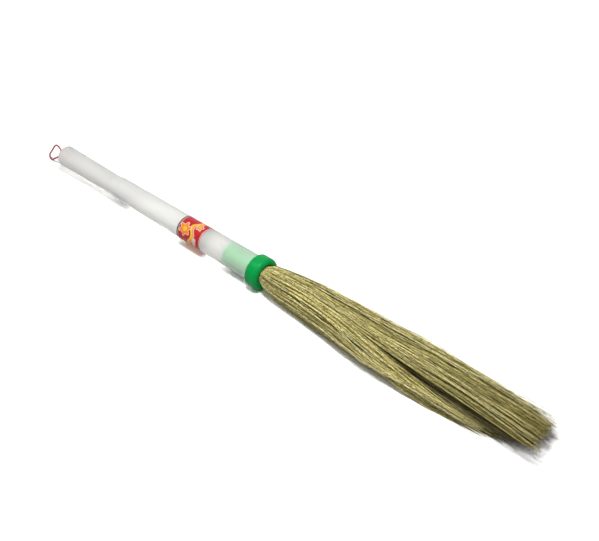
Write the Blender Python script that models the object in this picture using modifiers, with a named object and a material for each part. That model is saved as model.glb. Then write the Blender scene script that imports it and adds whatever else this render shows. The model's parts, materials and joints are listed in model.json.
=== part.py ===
"""A short hand broom: a bundle of leaf ribs in a two-length plastic handle.

The broom lies on a floor, as it does when it is put down. +X runs from the closed
end of the grip to the tips of the ribs, +Z is up, and the origin is on the floor
under the middle of the broom's length.
"""

import math
import random

import bmesh
import bpy
import numpy as np
from mathutils import Vector

# Clearances, in metres
FIT_GAP = 0.0003
WELD_GAP = 0.000001

# The grip: the far, narrower length of the handle
GRIP_LENGTH = 0.099
GRIP_END_RADIUS = 0.0130
GRIP_WALL = 0.0012
GRIP_END_WALL = 0.0020
GRIP_EDGE_RADIUS = 0.0040
GRIP_SHOULDER = 0.0004
NECK_LENGTH = 0.030
NECK_BEAD = 0.0002
NECK_BEAD_WIDTH = 0.004

# The tube: the wide, tapered length that holds the bundle
TUBE_LENGTH = 0.252
TUBE_TAIL_RADIUS = 0.0132
TUBE_MOUTH_RADIUS = 0.0161
TUBE_WALL = 0.0012
TAIL_CHAMFER = 0.0007
TAIL_CHAMFER_LENGTH = 0.008
FLANGE_HEIGHT = 0.0023
FLANGE_THICKNESS = 0.0018
FLANGE_EDGE_RADIUS = 0.0006

# The sticker round the tube
LABEL_START = 0.129
LABEL_LENGTH = 0.040
LABEL_THICKNESS = 0.0002
LABEL_SEAM = 0.003

# The green collar and its spigot
COLLAR_RADIUS = 0.0200
COLLAR_LENGTH = 0.017
COLLAR_BACK_EDGE = 0.0010
COLLAR_FRONT_EDGE = 0.0050
COLLAR_LIP = 0.0020
MOUTH_RADIUS = 0.0124
SPIGOT_LENGTH = 0.045
SPIGOT_WALL = 0.0012
CORE_DEPTH = 0.009
CORE_WALL = 0.0018

# The wire that binds the butts of the ribs
WIRE_DIAMETER = 0.0008
WIRE_TURNS = 3
WIRE_PITCH = 0.0022
WIRE_PLACE = 0.018

# The bundle of ribs
BRISTLE_REACH = 0.405
SPREAD_WIDTH = 0.080
SPREAD_HEIGHT = 0.041
BUTT_INSET = 0.004
BUTT_DEPTH = 0.017
FLOOR_PRESS = 0.0005
ROOT_EMBED = 0.0004
RING_COUNT = 10
HEART_RINGS = 3
LOCK_COUNT = 6
DENSE_RINGS = 8

# The hanging loop
CORD_DIAMETER = 0.0017
KNOT_RADIUS = 0.0040
KNOT_THICKNESS = 0.0060

# Facets of the turned pieces, and of their small fillets
TURN_FACETS = 48
COLLAR_FACETS = 56
FILLET_STEPS = 3
HEART_FACETS = 18
LOCK_FACETS = 5
WIRE_POINTS = 16
ROUTE_STEPS = 12

# Widths and heights of the bundle along its reach: place, half width, half height
BUNDLE_SHARES = (
    (0.035, 0.43, 0.86),
    (0.08, 0.49, 0.94),
    (0.19, 0.63, 1.00),
    (0.32, 0.75, 1.00),
    (0.52, 0.93, 1.00),
    (0.68, 1.00, 1.00),
    (0.78, 0.95, 0.98),
    (0.88, 0.92, 0.94),
    (1.00, 0.84, 0.84),
)

# Places along the reach where a rib bends: the outer rings' ribs, then the inner rings'
OUTER_STATION_SHARES = (0.005, 0.04, 0.19, 0.45, 0.72, 0.86)
INNER_STATION_SHARES = (0.005, 0.21, 0.62)

# A rib's half thickness, as shares of the ring pitch: in the butts, at the mouth, in the open
ROOT_SHARE = 0.32
MOUTH_SHARE = 0.35
OPEN_SHARE = 0.40
TIP_SHARE = 0.01

# How far each lock reaches, from the one at +Y round over the top, and the heart last
LOCK_REACH_SHARES = (0.98, 0.99, 0.88, 0.88, 0.97, 0.98)
HEART_REACH_SHARE = 1.0
RAGGED_SHARE = 0.06
CLUMP_SHARE = 0.13
WANDER_SHARE = 0.06
SWEEP_SHARE = 0.03
SETTLE_SHARE = 0.19

# How square the resting bundle's lower half is: 2 is an ellipse, more is flatter
FLOOR_SQUARENESS = 4

# Places that follow from the sizes above
FLOOR_ANGLE = math.pi / COLLAR_FACETS
AXIS_HEIGHT = COLLAR_RADIUS * math.cos(FLOOR_ANGLE)
TUBE_START = GRIP_LENGTH + FIT_GAP
TUBE_END = TUBE_START + TUBE_LENGTH
COLLAR_START = TUBE_END + FIT_GAP
COLLAR_END = COLLAR_START + COLLAR_LENGTH
TOTAL_LENGTH = COLLAR_END + BRISTLE_REACH
TUBE_TAPER = (TUBE_MOUTH_RADIUS - TUBE_TAIL_RADIUS) / TUBE_LENGTH
SPIGOT_START = COLLAR_START - SPIGOT_LENGTH
BUTT_END = COLLAR_END - BUTT_DEPTH


def tube_radius(along):
    """The tube's outer radius at a place along the broom."""
    return TUBE_TAIL_RADIUS + TUBE_TAPER * (along - TUBE_START)


def bore_radius(along):
    """The tube's inner radius at a place along the broom."""
    return tube_radius(along) - TUBE_WALL


NECK_RADIUS = bore_radius(TUBE_START) - FIT_GAP
GRIP_JOINT_RADIUS = NECK_RADIUS + GRIP_SHOULDER
SPIGOT_BORE = bore_radius(SPIGOT_START) - FIT_GAP - SPIGOT_WALL
BUTT_RADIUS = SPIGOT_BORE - FIT_GAP - WIRE_DIAMETER - FIT_GAP
RING_PITCH = BUTT_RADIUS / (RING_COUNT + 0.5)
CORD_SPACING = CORD_DIAMETER + FIT_GAP
CORD_HOLE_RADIUS = (CORD_SPACING + CORD_DIAMETER) / 2 + FIT_GAP

COLOURS = {
    "frosted_plastic": ((0.86, 0.87, 0.86, 1), 0.45),
    "sticker": ((0.62, 0.03, 0.04, 1), 0.35),
    "green_plastic": ((0.0, 0.38, 0.07, 1), 0.22),
    "binding_steel": ((0.55, 0.55, 0.55, 1), 0.35),
    "red_cord": ((0.55, 0.02, 0.04, 1), 0.7),
    "leaf_rib": ((0.36, 0.32, 0.14, 1), 0.6),
}
METALS = ("binding_steel",)


def clear_scene():
    for item in list(bpy.data.objects):
        bpy.data.objects.remove(item, do_unlink=True)


def make_collection(name):
    collection = bpy.data.collections.new(name)
    bpy.context.scene.collection.children.link(collection)
    return collection


def make_material(name, colour_name):
    """A material of the sub-part's own, with its colour, roughness and metallic value."""
    colour, roughness = COLOURS[colour_name]
    material = bpy.data.materials.new(name + "_material")
    material.use_nodes = True
    shader = material.node_tree.nodes["Principled BSDF"]
    shader.inputs["Base Color"].default_value = colour
    shader.inputs["Roughness"].default_value = roughness
    shader.inputs["Metallic"].default_value = float(colour_name in METALS)
    return material


def add_object(name, data, collection, parent, colour_name=None):
    item = bpy.data.objects.new(name, data)
    collection.objects.link(item)
    item.parent = parent
    if colour_name:
        data.materials.append(make_material(name, colour_name))
    return item


def settle(item, weld):
    """Turns an object with modifiers, or a curve, into a closed mesh with the same place."""
    bpy.context.view_layer.update()
    graph = bpy.context.evaluated_depsgraph_get()
    mesh = bpy.data.meshes.new_from_object(item.evaluated_get(graph), depsgraph=graph)
    shape = bmesh.new()
    shape.from_mesh(mesh)
    bmesh.ops.remove_doubles(shape, verts=shape.verts, dist=weld)
    bmesh.ops.recalc_face_normals(shape, faces=shape.faces)
    shape.to_mesh(mesh)
    shape.free()
    mesh.shade_smooth()
    mesh.set_sharp_from_angle(angle=math.radians(35))
    if item.type == "MESH":
        item.modifiers.clear()
        item.data = mesh
        return item
    solid = bpy.data.objects.new(item.name + "_solid", mesh)
    solid.matrix_world = item.matrix_world
    item.users_collection[0].objects.link(solid)
    name = item.name
    bpy.data.objects.remove(item, do_unlink=True)
    solid.name = name
    return solid


def arc(centre, radius, start, end, steps=FILLET_STEPS):
    """Points on an arc in the (radius, along) plane, angles in degrees from +radius."""
    points = []
    for step in range(steps + 1):
        angle = math.radians(start + (end - start) * step / steps)
        offset = Vector((math.cos(angle), math.sin(angle))) * radius
        points.append((centre[0] + offset.x, centre[1] + offset.y))
    return points


def profile_object(name, profile, closed, collection, parent, colour_name):
    """An object that holds a profile of (radius, along) points as joined edges."""
    shape = bmesh.new()
    corners = [shape.verts.new((radius, 0, along)) for radius, along in profile]
    following = corners[1:] + corners[:1] if closed else corners[1:]
    for first, second in zip(corners, following):
        shape.edges.new((first, second))
    mesh = bpy.data.meshes.new(name)
    shape.to_mesh(mesh)
    shape.free()
    return add_object(name, mesh, collection, parent, colour_name)


def add_screw(item, facets, turn):
    screw = item.modifiers.new("Turn", "SCREW")
    screw.angle = turn
    screw.steps = facets
    screw.render_steps = facets
    screw.use_merge_vertices = turn == math.tau
    screw.merge_threshold = WELD_GAP
    item.rotation_euler.z = turn / facets / 2


def turned(name, profile, facets, collection, parent, colour_name):
    """Turns a closed profile of (radius, along) points about the handle's axis."""
    item = profile_object(name, profile, True, collection, parent, colour_name)
    add_screw(item, facets, math.tau)
    return settle(item, weld=WELD_GAP)


def build_grip(collection, axis):
    """The grip: a closed far end with a rounded rim, a shoulder and a neck with a snap bead."""
    neck_end = GRIP_LENGTH + NECK_LENGTH
    bead_place = neck_end - NECK_BEAD_WIDTH * 2
    rim = (GRIP_END_RADIUS - GRIP_EDGE_RADIUS, GRIP_EDGE_RADIUS)
    inner_edge = GRIP_EDGE_RADIUS - GRIP_WALL
    inner_rim = (rim[0], GRIP_END_WALL + inner_edge)
    shoulder_edge = (GRIP_JOINT_RADIUS, GRIP_LENGTH - GRIP_SHOULDER)
    joint_bore = NECK_RADIUS - GRIP_WALL
    profile = [(CORD_HOLE_RADIUS, 0)]
    profile += arc(rim, GRIP_EDGE_RADIUS, -90, 0, FILLET_STEPS + 2)
    profile += [shoulder_edge, (GRIP_JOINT_RADIUS - GRIP_SHOULDER / 2, GRIP_LENGTH)]
    profile += [(NECK_RADIUS - NECK_BEAD, GRIP_LENGTH)]
    profile += [(NECK_RADIUS - NECK_BEAD, bead_place)]
    profile += [(NECK_RADIUS, bead_place + NECK_BEAD_WIDTH / 3)]
    profile += [(NECK_RADIUS, bead_place + NECK_BEAD_WIDTH * 2 / 3)]
    profile += [(NECK_RADIUS - NECK_BEAD, bead_place + NECK_BEAD_WIDTH)]
    profile += [(NECK_RADIUS - NECK_BEAD, neck_end)]
    profile += [(joint_bore, neck_end), (joint_bore, GRIP_LENGTH)]
    profile += arc(inner_rim, inner_edge, 0, -90)
    profile += [(CORD_HOLE_RADIUS, GRIP_END_WALL)]
    return turned("handle_grip", profile, TURN_FACETS, collection, axis, "frosted_plastic")


def build_tube(collection, axis):
    """The tube: a tapered shell with a softened tail and a thin flange round its mouth."""
    flange_radius = TUBE_MOUTH_RADIUS + FLANGE_HEIGHT
    flange_start = TUBE_END - FLANGE_THICKNESS
    edge = FLANGE_EDGE_RADIUS
    chamfer_end = TUBE_START + TAIL_CHAMFER_LENGTH
    profile = [(bore_radius(TUBE_END), TUBE_END), (bore_radius(TUBE_START), TUBE_START)]
    profile += [(TUBE_TAIL_RADIUS - TAIL_CHAMFER, TUBE_START)]
    profile += [(tube_radius(chamfer_end), chamfer_end)]
    profile += [(tube_radius(flange_start), flange_start)]
    profile += arc((flange_radius - edge, flange_start + edge), edge, -90, 0)
    profile += arc((flange_radius - edge, TUBE_END - edge), edge, 0, 90)
    return turned("handle_tube", profile, TURN_FACETS, collection, axis, "frosted_plastic")


def build_label(collection, axis):
    """The sticker: a thin skin round the tube, with its seam on the side that lies down."""
    start = TUBE_START + LABEL_START
    end = start + LABEL_LENGTH
    line = [(tube_radius(place) + FIT_GAP, place) for place in (end, start)]
    item = profile_object("label", line, False, collection, axis, "sticker")
    add_screw(item, TURN_FACETS, math.tau - LABEL_SEAM / line[1][0])
    skin = item.modifiers.new("Skin", "SOLIDIFY")
    skin.thickness = LABEL_THICKNESS
    skin.offset = 1
    return settle(item, weld=WELD_GAP)


def build_collar(collection, axis):
    """The collar: a round-edged ring, cored from behind, on a thin spigot that fits the tube."""
    front = COLLAR_END - COLLAR_FRONT_EDGE
    spigot_tail = bore_radius(SPIGOT_START) - FIT_GAP
    spigot_root = bore_radius(TUBE_END) - FIT_GAP
    core_inner = spigot_root + CORE_WALL
    core_outer = COLLAR_RADIUS - CORE_WALL
    core_end = COLLAR_START + CORE_DEPTH
    lip = (MOUTH_RADIUS + COLLAR_LIP, COLLAR_END - COLLAR_LIP)
    back = (COLLAR_RADIUS - COLLAR_BACK_EDGE, COLLAR_START + COLLAR_BACK_EDGE)
    profile = [(SPIGOT_BORE, SPIGOT_START), (spigot_tail, SPIGOT_START)]
    profile += [(spigot_root, COLLAR_START), (core_inner, COLLAR_START)]
    profile += [(core_inner, core_end), (core_outer, core_end), (core_outer, COLLAR_START)]
    profile += arc(back, COLLAR_BACK_EDGE, -90, 0, 2)
    profile += arc((COLLAR_RADIUS - COLLAR_FRONT_EDGE, front), COLLAR_FRONT_EDGE, 0, 90, 5)
    profile += arc(lip, COLLAR_LIP, 90, 180)
    profile += [(SPIGOT_BORE, COLLAR_START)]
    return turned("collar", profile, COLLAR_FACETS, collection, axis, "green_plastic")


def poly_curve(name, routes, bevel_resolution, collection, parent, colour_name, radius):
    """A curve object whose splines are routes of points, each swept as a round tube."""
    curve = bpy.data.curves.new(name, "CURVE")
    curve.dimensions = "3D"
    curve.bevel_depth = radius
    curve.bevel_resolution = bevel_resolution
    curve.use_fill_caps = True
    for route in routes:
        spline = curve.splines.new("POLY")
        spline.points.add(len(route) - 1)
        for point, place in zip(spline.points, route):
            point.co = (*place, 1)
    return add_object(name, curve, collection, parent, colour_name)


def least_turn_gap(route):
    """The least gap between the wire's turns, measured between its points."""
    places = np.array(route)
    gaps = []
    for index in range(len(places) - WIRE_POINTS):
        later = places[index + WIRE_POINTS // 2:]
        gaps.append(np.linalg.norm(later - places[index], axis=1).min())
    return min(gaps) - WIRE_DIAMETER


def build_wire(collection, axis):
    """Wire wound round the butts, one unbroken helix."""
    radius = BUTT_RADIUS + FIT_GAP + WIRE_DIAMETER / 2
    start = SPIGOT_START + WIRE_PLACE
    route = []
    for step in range(WIRE_TURNS * WIRE_POINTS + 1):
        angle = math.tau * step / WIRE_POINTS
        along = start + WIRE_PITCH * step / WIRE_POINTS
        route.append((radius * math.cos(angle), radius * math.sin(angle), along))
    print(f"binding wire: least gap between turns {least_turn_gap(route) * 1000:.2f} mm")
    return poly_curve(
        "binding_wire", [route], 1, collection, axis, "binding_steel", WIRE_DIAMETER / 2
    )


def loop_route():
    """The hanging loop from one exit to the other: out, over a rise, down to the floor, back."""
    upper = AXIS_HEIGHT + CORD_SPACING / 2
    lower = AXIS_HEIGHT - CORD_SPACING / 2
    inner = GRIP_END_WALL + FIT_GAP
    lowest = CORD_DIAMETER / 2 + FIT_GAP
    return [
        (inner, 0, upper),
        (-0.0030, 0, upper),
        (-0.0085, 0.0004, 0.0232),
        (-0.0150, 0.0008, 0.0262),
        (-0.0205, 0.0006, 0.0212),
        (-0.0262, 0.0002, 0.0105),
        (-0.0296, -0.0002, lowest + 0.0021),
        (-0.0280, -0.0006, lowest + 0.0010),
        (-0.0215, -0.0008, 0.0066),
        (-0.0110, -0.0004, 0.0140),
        (-0.0035, 0, lower),
        (inner, 0, lower),
    ]


def smooth_route(points, spacing):
    """Places read at even spacing from a smooth curve through the given points."""
    fine = []
    padded = [points[0]] + list(points) + [points[-1]]
    for a, b, c, d in zip(padded, padded[1:], padded[2:], padded[3:]):
        a, b, c, d = (Vector(place) for place in (a, b, c, d))
        for step in range(ROUTE_STEPS):
            t = step / ROUTE_STEPS
            fine.append(
                (2 * b + (c - a) * t + (2 * a - 5 * b + 4 * c - d) * t**2
                 + (3 * b - a - 3 * c + d) * t**3) / 2
            )
    fine.append(Vector(points[-1]))
    travelled = [0.0]
    for first, second in zip(fine, fine[1:]):
        travelled.append(travelled[-1] + (second - first).length)
    count = max(2, round(travelled[-1] / spacing))
    wanted = np.linspace(0, travelled[-1], count + 1)
    return [tuple(place) for place in np.array([
        np.interp(wanted, travelled, [place[i] for place in fine]) for i in range(3)
    ]).T]


def build_cord(collection, broom):
    route = smooth_route(loop_route(), CORD_DIAMETER * 2)
    return poly_curve(
        "hang_cord", [route], 2, collection, broom, "red_cord", CORD_DIAMETER / 2
    )


def build_knot(collection, axis):
    """The knot behind the grip's end wall, wider than the hole that the cord leaves by."""
    mesh = bpy.data.meshes.new("cord_knot")
    shape = bmesh.new()
    bmesh.ops.create_uvsphere(shape, u_segments=12, v_segments=8, radius=KNOT_RADIUS)
    bmesh.ops.scale(shape, vec=(1, 1, KNOT_THICKNESS / KNOT_RADIUS / 2), verts=shape.verts)
    shape.to_mesh(mesh)
    shape.free()
    mesh.shade_smooth()
    knot = add_object("cord_knot", mesh, collection, axis, "red_cord")
    knot.location.z = GRIP_END_WALL + FIT_GAP * 2 + KNOT_THICKNESS / 2
    return knot


def smooth_step(value):
    value = min(1.0, max(0.0, value))
    return value * value * (3 - 2 * value)


def bundle_size(reach):
    """The bundle's half width, half height, centre height and share of settling at a reach."""
    root = BUTT_END - COLLAR_END
    mouth = MOUTH_RADIUS - FIT_GAP * 2
    places = [root, 0] + [row[0] * BRISTLE_REACH for row in BUNDLE_SHARES]
    widths = [BUTT_RADIUS, mouth] + [row[1] * SPREAD_WIDTH / 2 for row in BUNDLE_SHARES]
    heights = [BUTT_RADIUS, mouth] + [row[2] * SPREAD_HEIGHT / 2 for row in BUNDLE_SHARES]
    width = float(np.interp(reach, places, widths))
    height = float(np.interp(reach, places, heights))
    settled = smooth_step(reach / BRISTLE_REACH / SETTLE_SHARE)
    centre = AXIS_HEIGHT + (height - FLOOR_PRESS - AXIS_HEIGHT) * settled
    return width, height, centre, settled


def flattened(place, settled):
    """A place in the bundle's round section, moved to where a settled bundle squares off below."""
    ring = place.length
    if place.y >= 0 or ring == 0:
        return place
    power = 2 + (FLOOR_SQUARENESS - 2) * settled
    side, down = abs(place.x) / ring, -place.y / ring
    return place * (side**power + down**power) ** (-1 / power)


def spread(along, ring, angle, lock_angle, wander):
    """Where the bundle's ring and angle lie at a place along the broom, in world height."""
    reach = along - COLLAR_END
    share = reach / BRISTLE_REACH
    clump = CLUMP_SHARE * smooth_step(share * 2)
    lock_ring = (RING_COUNT + HEART_RINGS) / 2
    lock = Vector((0, 0))
    if lock_angle is not None:
        lock = Vector((math.cos(lock_angle), math.sin(lock_angle))) * lock_ring
    place = Vector((math.cos(angle), math.sin(angle))) * ring
    place = place.lerp(lock, clump) + wander * smooth_step(share)
    place /= RING_COUNT + 0.5 - clump * (RING_COUNT - lock_ring)
    width, height, centre, settled = bundle_size(reach)
    place = flattened(place, settled)
    side = place.x * width + SWEEP_SHARE * SPREAD_WIDTH * smooth_step(share * 2 - 1)
    return side, centre + place.y * height


def rib_stations(ring, tip):
    shares = OUTER_STATION_SHARES if ring >= DENSE_RINGS else INNER_STATION_SHARES
    middle = [COLLAR_END + share * BRISTLE_REACH for share in shares]
    return [BUTT_END - ROOT_EMBED] + [place for place in middle if place < tip] + [tip]


def rib_thickness(station, last):
    """A rib's half thickness at one of its stations, as a share of the ring pitch."""
    if station == 0:
        return ROOT_SHARE
    if station == last:
        return TIP_SHARE
    return MOUTH_SHARE if station == 1 else OPEN_SHARE


def straight_ribs(name, ribs, collection):
    """The ribs before they are flared: a curve of straight splines with a three-sided section."""
    section = bpy.data.curves.new(name + "_section", "CURVE")
    section.dimensions = "2D"
    corners = section.splines.new("POLY")
    corners.points.add(2)
    for index, corner in enumerate(corners.points):
        turn = math.tau * index / 3
        corner.co = (RING_PITCH * math.cos(turn), RING_PITCH * math.sin(turn), 0, 1)
    corners.use_cyclic_u = True
    guide = bpy.data.objects.new(name + "_section", section)
    collection.objects.link(guide)
    guide.hide_render = True
    guide.display_type = "WIRE"
    curve = bpy.data.curves.new(name + "_ribs", "CURVE")
    curve.dimensions = "3D"
    curve.bevel_mode = "OBJECT"
    curve.bevel_object = guide
    curve.use_fill_caps = True
    for rib in ribs:
        spline = curve.splines.new("POLY")
        spline.points.add(len(rib["stations"]) - 1)
        last = len(rib["stations"]) - 1
        for index, point in enumerate(spline.points):
            side = rib["ring"] * RING_PITCH * math.cos(rib["angle"])
            height = rib["ring"] * RING_PITCH * math.sin(rib["angle"])
            point.co = (rib["stations"][index], side, height, 1)
            point.radius = rib_thickness(index, last)
    item = bpy.data.objects.new(name + "_ribs", curve)
    collection.objects.link(item)
    return settle(item, weld=RING_PITCH * TIP_SHARE * 3)


def flare_ribs(item, ribs):
    """Moves each corner of the straight ribs to its place in the flared, resting bundle."""
    centres = np.array([
        (rib["ring"] * math.cos(rib["angle"]), rib["ring"] * math.sin(rib["angle"]))
        for rib in ribs
    ]) * RING_PITCH
    for corner in item.data.vertices:
        side, height = corner.co.y, corner.co.z
        nearest = np.hypot(centres[:, 0] - side, centres[:, 1] - height).argmin()
        rib = ribs[int(nearest)]
        ring = math.hypot(side, height) / RING_PITCH
        angle = math.atan2(height, side)
        place = spread(corner.co.x, ring, angle, rib["lock_angle"], rib["wander"])
        corner.co.y = place[0]
        corner.co.z = max(place[1], 0)


def butt_slice(name, lock, collection):
    """One lock's share of the bound butts: a sector, or the round heart in the middle."""
    half_gap = FIT_GAP / 2
    split = (HEART_RINGS + 0.5) * RING_PITCH
    if lock is None:
        outline = [
            ((split - half_gap) * math.cos(math.tau * step / HEART_FACETS),
             (split - half_gap) * math.sin(math.tau * step / HEART_FACETS))
            for step in range(HEART_FACETS)
        ]
    else:
        outline = []
        out_and_back = (
            (BUTT_RADIUS, range(LOCK_FACETS + 1)),
            (split + half_gap, range(LOCK_FACETS, -1, -1)),
        )
        for radius, steps in out_and_back:
            inset = math.asin(half_gap / radius)
            opening = math.tau / LOCK_COUNT - inset * 2
            for step in steps:
                angle = math.tau * lock / LOCK_COUNT + inset + opening * step / LOCK_FACETS
                outline.append((radius * math.cos(angle), radius * math.sin(angle)))
    curve = bpy.data.curves.new(name, "CURVE")
    curve.dimensions = "2D"
    curve.fill_mode = "BOTH"
    curve.extrude = (BUTT_END - SPIGOT_START - BUTT_INSET) / 2
    spline = curve.splines.new("POLY")
    spline.points.add(len(outline) - 1)
    for point, (side, height) in zip(spline.points, outline):
        point.co = (side, height, 0, 1)
    spline.use_cyclic_u = True
    item = bpy.data.objects.new(name, curve)
    collection.objects.link(item)
    item.rotation_euler = (math.pi / 2, 0, math.pi / 2)
    item.location = ((BUTT_END + SPIGOT_START + BUTT_INSET) / 2, 0, AXIS_HEIGHT)
    return settle(item, weld=WELD_GAP)


def plan_ribs(lock, rng):
    """The ribs of one lock: rings of evenly spaced ribs, the outer ones shorter."""
    if lock is None:
        rings = range(0, HEART_RINGS + 1)
        reach = HEART_REACH_SHARE
        lock_angle = None
    else:
        rings = range(HEART_RINGS + 1, RING_COUNT + 1)
        reach = LOCK_REACH_SHARES[lock % len(LOCK_REACH_SHARES)]
        lock_angle = math.tau * (lock + 0.5) / LOCK_COUNT
    ribs = []
    for ring in rings:
        in_lock = ring if lock is not None else ring * LOCK_COUNT
        for index in range(max(1, in_lock)):
            share = (index + 0.5) / max(1, in_lock)
            if lock is None:
                angle = math.tau * share
            else:
                angle = math.tau * (lock + share) / LOCK_COUNT
            shortening = RAGGED_SHARE * rng.random() * (ring / RING_COUNT + 0.3)
            wander = Vector((rng.uniform(-1, 1), rng.uniform(-1, 1))) * WANDER_SHARE
            if ring == 0:
                shortening = 0
                wander = Vector((0, 0))
            tip = COLLAR_END + BRISTLE_REACH * (reach - shortening)
            ribs.append({
                "ring": ring,
                "angle": angle,
                "lock_angle": lock_angle,
                "wander": wander,
                "stations": rib_stations(ring, tip),
            })
    return ribs


def build_bunch(name, lock, collection, guides, broom, rng):
    """One lock of the bundle: its ribs, fused to its slice of the bound butts."""
    ribs = plan_ribs(lock, rng)
    strands = straight_ribs(name, ribs, guides)
    flare_ribs(strands, ribs)
    slice_solid = butt_slice(name + "_butts", lock, guides)
    item = add_object(name, slice_solid.data.copy(), collection, None)
    item.matrix_world = slice_solid.matrix_world
    item.data.materials.append(make_material(name, "leaf_rib"))
    bpy.data.objects.remove(slice_solid, do_unlink=True)
    join = item.modifiers.new("Ribs", "BOOLEAN")
    join.operation = "UNION"
    join.solver = "EXACT"
    join.object = strands
    strands.hide_render = True
    strands.display_type = "WIRE"
    strands.parent = broom
    item.parent = broom


def main():
    clear_scene()
    parts = make_collection("hand_broom")
    guides = make_collection("guides")
    broom = add_object("broom", None, parts, None)
    axis = add_object("handle_axis", None, parts, broom)
    axis.location.z = AXIS_HEIGHT
    axis.rotation_euler.y = math.pi / 2
    build_grip(parts, axis)
    build_tube(parts, axis)
    build_label(parts, axis)
    build_collar(parts, axis)
    build_wire(parts, axis)
    build_cord(parts, broom)
    build_knot(parts, axis)
    rng = random.Random(11)
    build_bunch("bristle_heart", None, parts, guides, broom, rng)
    for lock in range(LOCK_COUNT):
        build_bunch(f"bristle_lock_{lock + 1}", lock, parts, guides, broom, rng)
    broom.location.x = -TOTAL_LENGTH / 2


main()
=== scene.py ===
"""The looks of a short hand broom: frosted handle, sticker, green collar and a bundle of leaf ribs."""

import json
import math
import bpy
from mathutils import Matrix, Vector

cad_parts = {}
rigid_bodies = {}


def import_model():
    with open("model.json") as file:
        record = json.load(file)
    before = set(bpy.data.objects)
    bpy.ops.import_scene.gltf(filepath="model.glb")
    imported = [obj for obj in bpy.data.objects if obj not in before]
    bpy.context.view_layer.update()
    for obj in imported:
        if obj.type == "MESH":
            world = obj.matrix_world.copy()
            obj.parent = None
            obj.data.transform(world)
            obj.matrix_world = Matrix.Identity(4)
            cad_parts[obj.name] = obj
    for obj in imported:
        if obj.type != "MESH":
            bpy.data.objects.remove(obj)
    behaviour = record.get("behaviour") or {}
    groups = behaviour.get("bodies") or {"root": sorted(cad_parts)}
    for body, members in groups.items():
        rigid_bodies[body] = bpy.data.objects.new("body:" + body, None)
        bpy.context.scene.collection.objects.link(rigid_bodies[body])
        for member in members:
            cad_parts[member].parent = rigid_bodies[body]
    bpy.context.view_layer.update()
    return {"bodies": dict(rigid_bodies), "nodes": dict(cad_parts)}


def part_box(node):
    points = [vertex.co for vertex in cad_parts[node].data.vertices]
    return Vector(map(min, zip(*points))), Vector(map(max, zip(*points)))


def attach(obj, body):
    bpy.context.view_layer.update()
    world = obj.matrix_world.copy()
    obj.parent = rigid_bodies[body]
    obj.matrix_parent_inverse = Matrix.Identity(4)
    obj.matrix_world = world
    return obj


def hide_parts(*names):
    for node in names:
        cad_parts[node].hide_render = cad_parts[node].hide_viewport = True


bl_info = {
    "name": "Hand Broom",
    "version": (1, 0, 0),
    "blender": (4, 5, 0),
    "location": "3D View > Sidebar > Hand Broom",
    "description": "Builds a short hand broom of leaf ribs in a frosted plastic handle",
    "category": "Object",
}

import bmesh
import bpy
from bpy.props import FloatProperty, FloatVectorProperty, IntProperty, PointerProperty
from mathutils import Vector

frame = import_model()
BODY = list(frame["bodies"])[0]
MILLIMETRES = 1000

# Places read from the frame
GRIP_LOW, GRIP_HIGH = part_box("handle_grip")
TUBE_LOW, TUBE_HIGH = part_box("handle_tube")
LABEL_LOW, LABEL_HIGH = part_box("label")
COLLAR_LOW, COLLAR_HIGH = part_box("collar")
KNOT_LOW, KNOT_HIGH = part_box("cord_knot")
HEART_LOW, HEART_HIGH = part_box("bristle_heart")
AXIS_HEIGHT = (COLLAR_LOW[2] + COLLAR_HIGH[2]) / 2

# Clearance between two pieces, and the roundings of moulded edges, in metres
FIT_GAP = 0.0003
FINE_EDGE = 0.0003
SOFT_EDGE = 0.0004
FLANGE_EDGE = 0.0006

# The grip's end wall, the cord's play in its hole, and the low bead on the neck
END_WALL = 0.0020
CORD_PLAY = 0.00045
BEAD_HEIGHT = 0.0002
BEAD_WIDTH = 0.004

# The tube's chamfered tail and the flange round its mouth
CHAMFER = 0.0007
CHAMFER_LENGTH = 0.008
FLANGE_THICKNESS = 0.0018

# The hollow behind the collar's ring
CORE_WALL = 0.0018
CORE_DEPTH = 0.009

# The sticker's seam, thickness and stand-off, its girth against the mouth's, and its mesh
SEAM_WIDTH = 0.003
STICKER_THICKNESS = 0.00012
STICKER_GAP = 0.00004
STICKER_GIRTH_SHARE = 0.95
STICKER_ROWS = 10
STICKER_COLUMNS = 120

# The cord's section, and the knot's points and how deep its crossings are, in diameters
CORD_STRANDS = 3
CORD_SIDES = 18
LOBE_DEPTH = 0.08
KNOT_POINTS = 72
KNOT_DEPTH = 0.62

# The hanging loop outside the grip: straight ends, then distance from the grip, side and height
# over the floor, or over the resting cord where it turns on the floor
LOOP_STRAIGHT_OUT = 0.0030
LOOP_STRAIGHT_BACK = 0.0035
LOOP_RISE = (
    (0.0085, 0.0004, 0.0238),
    (0.0130, 0.0007, 0.0265),
    (0.0177, 0.0007, 0.0262),
    (0.0213, 0.0006, 0.0226),
    (0.0245, 0.0004, 0.0176),
    (0.0276, 0.0002, 0.0128),
    (0.0303, 0.0000, 0.0090),
)
LOOP_TURN = (
    (0.0316, -0.0002, 0.0046),
    (0.0307, -0.0003, 0.0016),
    (0.0280, -0.0004, 0.0002),
    (0.0252, -0.0005, 0.0010),
    (0.0226, -0.0006, 0.0029),
)
LOOP_RETURN = (
    (0.0190, -0.0007, 0.0070),
    (0.0110, -0.0004, 0.0130),
)

# Steps between two points of the route, places kept in a diameter's length, and how often the
# bends are eased
ROUTE_STEPS = 80
PLACES_PER_DIAMETER = 4
EASING_PASSES = 12

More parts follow.
